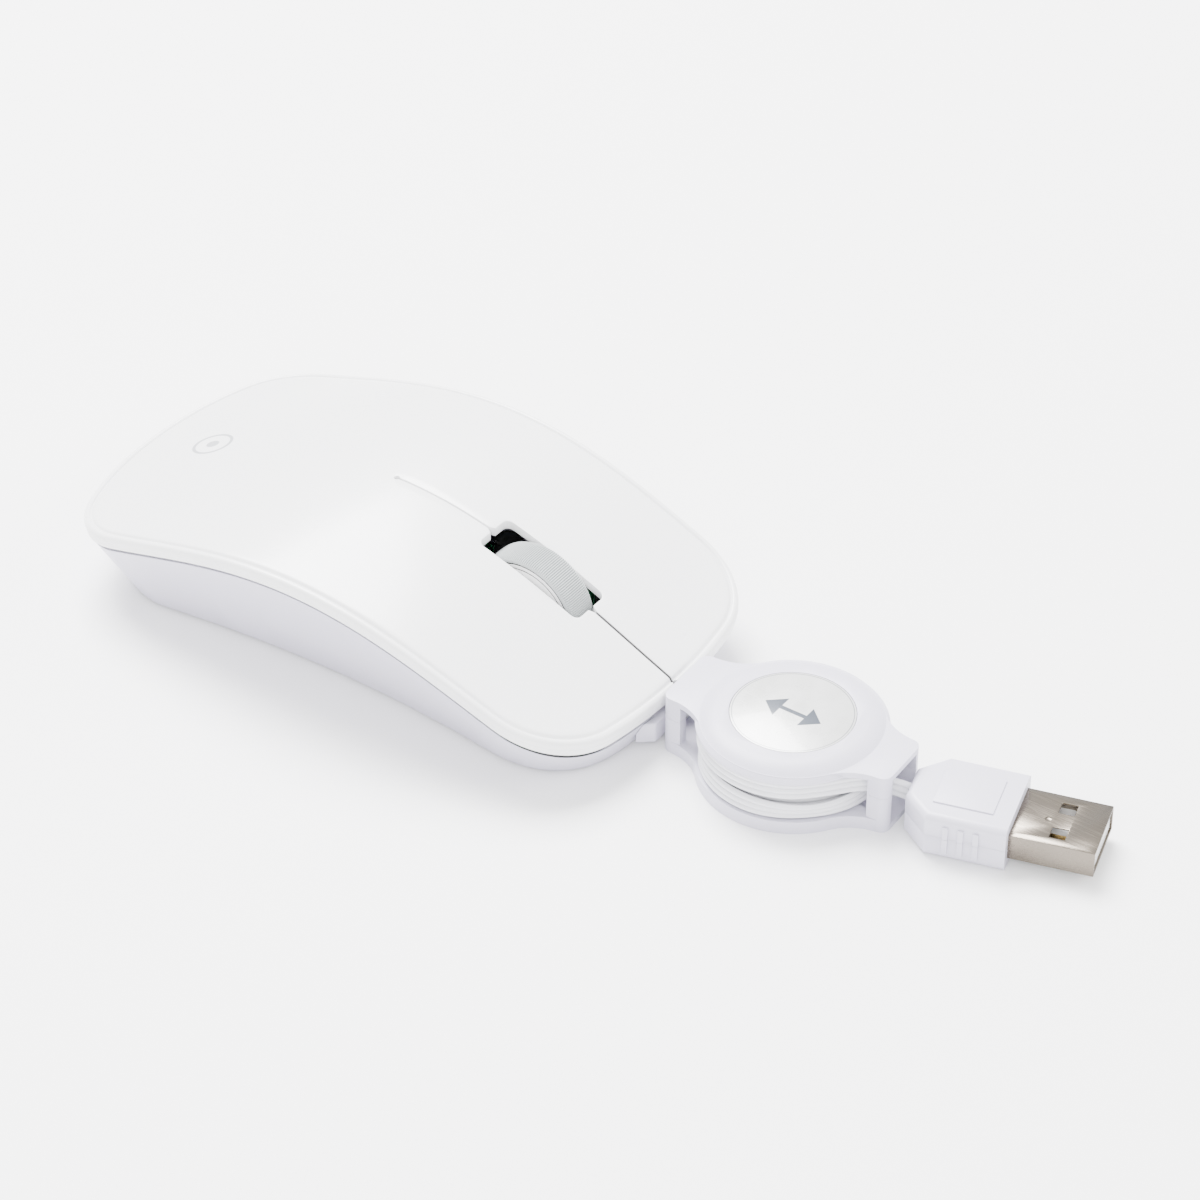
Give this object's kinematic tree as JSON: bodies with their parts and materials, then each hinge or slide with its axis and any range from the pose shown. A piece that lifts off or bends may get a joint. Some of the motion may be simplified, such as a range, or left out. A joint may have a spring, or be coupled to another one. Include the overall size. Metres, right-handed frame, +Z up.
{
  "type": "computer mouse",
  "caption": "Low wired computer mouse with a one-piece top cover, scroll wheel, and a flat cable wound in a two-way retractable reel that ends in a flat plug.",
  "frame": {"origin": "middle of the mouse's own box, on the surface that it stands on", "axes": "+Z up; the mouse's front, with the cable, faces -Y; +X is the user's left"},
  "size_m": [0.06, 0.181, 0.0259],
  "materials": {
    "cover_white": "satin",
    "shell_lilac": "satin",
    "tyre_grey": "ribbed, matt",
    "hub_white": "gloss",
    "inner_plastic": "matt",
    "board_green": "solder mask",
    "chip_black": "matt",
    "clear_plastic": "clear",
    "lamp_red": "tinted clear",
    "steel": "plain steel",
    "plug_metal": "nickel plated",
    "contact_gold": "gold plated",
    "badge_pearl": "pearl print",
    "cable_grey": "ribbed soft vinyl",
    "foot_dark": "low-friction",
    "label_paper": "blank label"
  },
  "bodies": {
    "case": {"palm_cover": "cover_white", "bottom_shell": "shell_lilac", "cable_outlet": "shell_lilac", "carriage_pin": "steel", "carriage_spring": "steel", "circuit_board": "board_green", "left_switch": "chip_black", "right_switch": "chip_black", "middle_switch": "chip_black", "sensor_chip": "chip_black", "lens_plate": "clear_plastic", "lamp": "lamp_red", "light_emitter": "chip_black", "light_receiver": "chip_black", "capacitor": "inner_plastic", "cable_header": "hub_white", "inner_wires": "cable_grey", "case_screws": "steel", "front_foot": "foot_dark", "rear_foot": "foot_dark", "base_label": "label_paper", "reel_bottom_shell": "shell_lilac", "reel_top_shell": "shell_lilac", "reel_badge": "badge_pearl", "ratchet_ball": "steel", "cord_winding": "cable_grey", "cord_mouse_lead": "cable_grey", "cord_plug_lead": "cable_grey", "plug_boot": "shell_lilac", "plug_shell": "plug_metal", "plug_tongue": "hub_white", "plug_contacts": "contact_gold"},
    "left_button": {"left_button": "cover_white"},
    "right_button": {"right_button": "cover_white"},
    "left_switch_plunger": {"left_plunger": "hub_white"},
    "right_switch_plunger": {"right_plunger": "hub_white"},
    "middle_switch_plunger": {"middle_plunger": "hub_white"},
    "wheel_yoke": {"wheel_carriage": "inner_plastic"},
    "scroll_wheel": {"wheel_hub": "hub_white", "wheel_tyre": "tyre_grey"},
    "cable_spool": {"reel_spool": "shell_lilac", "reel_spring": "steel"}
  },
  "joints": [
    {"name": "left_click", "type": "hinge", "parent": "case", "child": "left_button", "pos_m": [0, 0.002, 0.022], "axis": [1, 0, 0], "range_deg": [0, 0.8], "stiffness_Nm_per_rad": 4, "springref_deg": -0.57},
    {"name": "right_click", "type": "hinge", "parent": "case", "child": "right_button", "pos_m": [0, 0.002, 0.022], "axis": [1, 0, 0], "range_deg": [0, 0.8], "stiffness_Nm_per_rad": 4, "springref_deg": -0.57},
    {"name": "left_plunger_travel", "type": "slide", "parent": "case", "child": "left_switch_plunger", "axis": [0, 0, -1], "range_m": [0, 0.0006]},
    {"name": "right_plunger_travel", "type": "slide", "parent": "case", "child": "right_switch_plunger", "axis": [0, 0, -1], "range_m": [0, 0.0006]},
    {"name": "wheel_click", "type": "hinge", "parent": "case", "child": "wheel_yoke", "pos_m": [0, -0.009, 0.0085], "axis": [1, 0, 0], "range_deg": [0, 1], "stiffness_Nm_per_rad": 2, "springref_deg": -0.57, "deforming": ["carriage_spring"]},
    {"name": "middle_plunger_travel", "type": "slide", "parent": "case", "child": "middle_switch_plunger", "axis": [0, 0, -1], "range_m": [0, 0.0006]},
    {"name": "wheel_spin", "type": "hinge", "parent": "wheel_yoke", "child": "scroll_wheel", "pos_m": [0, -0.026, 0.0124], "axis": [1, 0, 0], "continuous": true},
    {"name": "spool_turn", "type": "hinge", "parent": "case", "child": "cable_spool", "pos_m": [0.001, -0.07475, 0.005], "axis": [0, 0, 1], "range_deg": [0, 1700]}
  ],
  "couplings": [
    {"joint": "left_plunger_travel", "follows": "left_click", "m_per_rad": 0.038},
    {"joint": "right_plunger_travel", "follows": "right_click", "m_per_rad": 0.038},
    {"joint": "middle_plunger_travel", "follows": "wheel_click", "m_per_rad": 0.0304}
  ]
}
